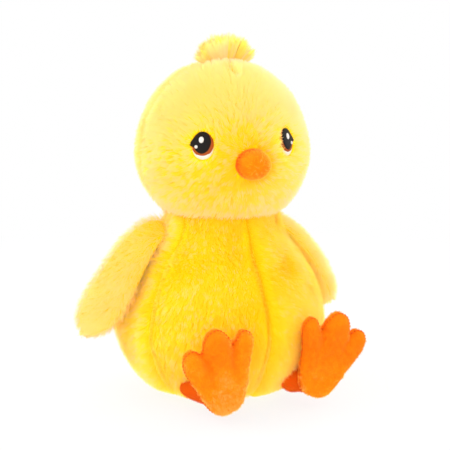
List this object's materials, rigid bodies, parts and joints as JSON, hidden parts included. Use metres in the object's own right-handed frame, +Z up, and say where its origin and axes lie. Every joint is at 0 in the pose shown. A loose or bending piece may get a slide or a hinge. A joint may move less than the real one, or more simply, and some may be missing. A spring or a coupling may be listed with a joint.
{
  "type": "plush chick",
  "caption": "Sitting plush chick with a round head, crown tuft, domed beak, drooping wings and three-toed feet; head, wings, legs and feet move.",
  "frame": {"origin": "middle of the flat seat that the chick rests on", "axes": "+Z up from the seat to the crown, -Y the way the belly faces, +X the chick's own left"},
  "size_m": [0.2078, 0.1614, 0.2504],
  "materials": {
    "yellow_plush": "long soft polyester pile",
    "tuft_fibre": "loose long fibre",
    "orange_velour": "short brushed pile",
    "fibre_filling": "loose polyester fibre",
    "pellet_bag_cloth": "plain woven cloth",
    "sewing_thread": "twisted thread",
    "black_thread": "satin-stitch embroidery",
    "brown_thread": "satin-stitch embroidery",
    "white_thread": "satin-stitch embroidery"
  },
  "bodies": {
    "torso": {"body_front_left_panel": "yellow_plush", "body_front_right_panel": "yellow_plush", "body_back_left_panel": "yellow_plush", "body_back_right_panel": "yellow_plush", "body_base_panel": "yellow_plush", "pellet_bag": "pellet_bag_cloth", "body_filling": "fibre_filling"},
    "neck_ring": {"neck_band": "yellow_plush", "neck_thread": "sewing_thread"},
    "neck_core": {"neck_filling": "fibre_filling"},
    "head": {"face_panel": "yellow_plush", "head_back_left_panel": "yellow_plush", "head_back_right_panel": "yellow_plush", "head_filling": "fibre_filling", "beak_cover": "orange_velour", "beak_filling": "fibre_filling", "crown_tuft": "tuft_fibre", "left_eye_pupil": "black_thread", "left_eye_iris": "brown_thread", "left_eye_white": "white_thread", "left_eye_upper_glint": "white_thread", "left_eye_lower_glint": "white_thread", "right_eye_pupil": "black_thread", "right_eye_iris": "brown_thread", "right_eye_white": "white_thread", "right_eye_upper_glint": "white_thread", "right_eye_lower_glint": "white_thread"},
    "left_wing": {"left_wing_outer_panel": "yellow_plush", "left_wing_inner_panel": "yellow_plush", "left_wing_filling": "fibre_filling"},
    "right_wing": {"right_wing_outer_panel": "yellow_plush", "right_wing_inner_panel": "yellow_plush", "right_wing_filling": "fibre_filling"},
    "left_leg": {"left_leg_cover": "orange_velour", "left_leg_filling": "fibre_filling"},
    "left_foot": {"left_foot_sole": "orange_velour", "left_foot_upper": "orange_velour", "left_foot_filling": "fibre_filling"},
    "right_leg": {"right_leg_cover": "orange_velour", "right_leg_filling": "fibre_filling"},
    "right_foot": {"right_foot_sole": "orange_velour", "right_foot_upper": "orange_velour", "right_foot_filling": "fibre_filling"}
  },
  "joints": [
    {"name": "head_turn", "type": "hinge", "parent": "torso", "child": "neck_ring", "pos_m": [0, -0.003, 0.1245], "axis": [0, 0, 1], "range_deg": [-25, 25], "stiffness_Nm_per_rad": 0.15},
    {"name": "head_tilt", "type": "hinge", "parent": "neck_ring", "child": "neck_core", "pos_m": [0, -0.003, 0.1245], "axis": [0, 1, 0], "range_deg": [-6, 6], "stiffness_Nm_per_rad": 0.4},
    {"name": "head_nod", "type": "hinge", "parent": "neck_core", "child": "head", "pos_m": [0, -0.003, 0.1245], "axis": [1, 0, 0], "range_deg": [-6, 8], "stiffness_Nm_per_rad": 0.4},
    {"name": "left_wing_flap", "type": "hinge", "parent": "torso", "child": "left_wing", "pos_m": [0.04865, 0.00684, 0.11684], "axis": [0.1392, -0.9903, 0], "range_deg": [0, 80], "stiffness_Nm_per_rad": 0.02},
    {"name": "right_wing_flap", "type": "hinge", "parent": "torso", "child": "right_wing", "pos_m": [-0.04865, 0.00684, 0.11684], "axis": [0.1392, 0.9903, 0], "range_deg": [0, 80], "stiffness_Nm_per_rad": 0.02},
    {"name": "left_leg_swing", "type": "hinge", "parent": "torso", "child": "left_leg", "pos_m": [0.03052, -0.05079, 0.01726], "axis": [-0.788, -0.6157, 0], "range_deg": [-20, 0], "stiffness_Nm_per_rad": 0.06},
    {"name": "left_ankle_bend", "type": "hinge", "parent": "left_leg", "child": "left_foot", "pos_m": [0.04037, -0.06339, 0.01726], "axis": [0.9771, -0.1296, -0.1685], "range_deg": [0, 15], "stiffness_Nm_per_rad": 0.05},
    {"name": "right_leg_swing", "type": "hinge", "parent": "torso", "child": "right_leg", "pos_m": [-0.03052, -0.05079, 0.01726], "axis": [-0.891, 0.454, 0], "range_deg": [-20, 5], "stiffness_Nm_per_rad": 0.06},
    {"name": "right_ankle_bend", "type": "hinge", "parent": "right_leg", "child": "right_foot", "pos_m": [-0.03778, -0.06504, 0.01726], "axis": [0.9625, -0.2124, 0.1685], "range_deg": [-3, 15], "stiffness_Nm_per_rad": 0.05}
  ]
}
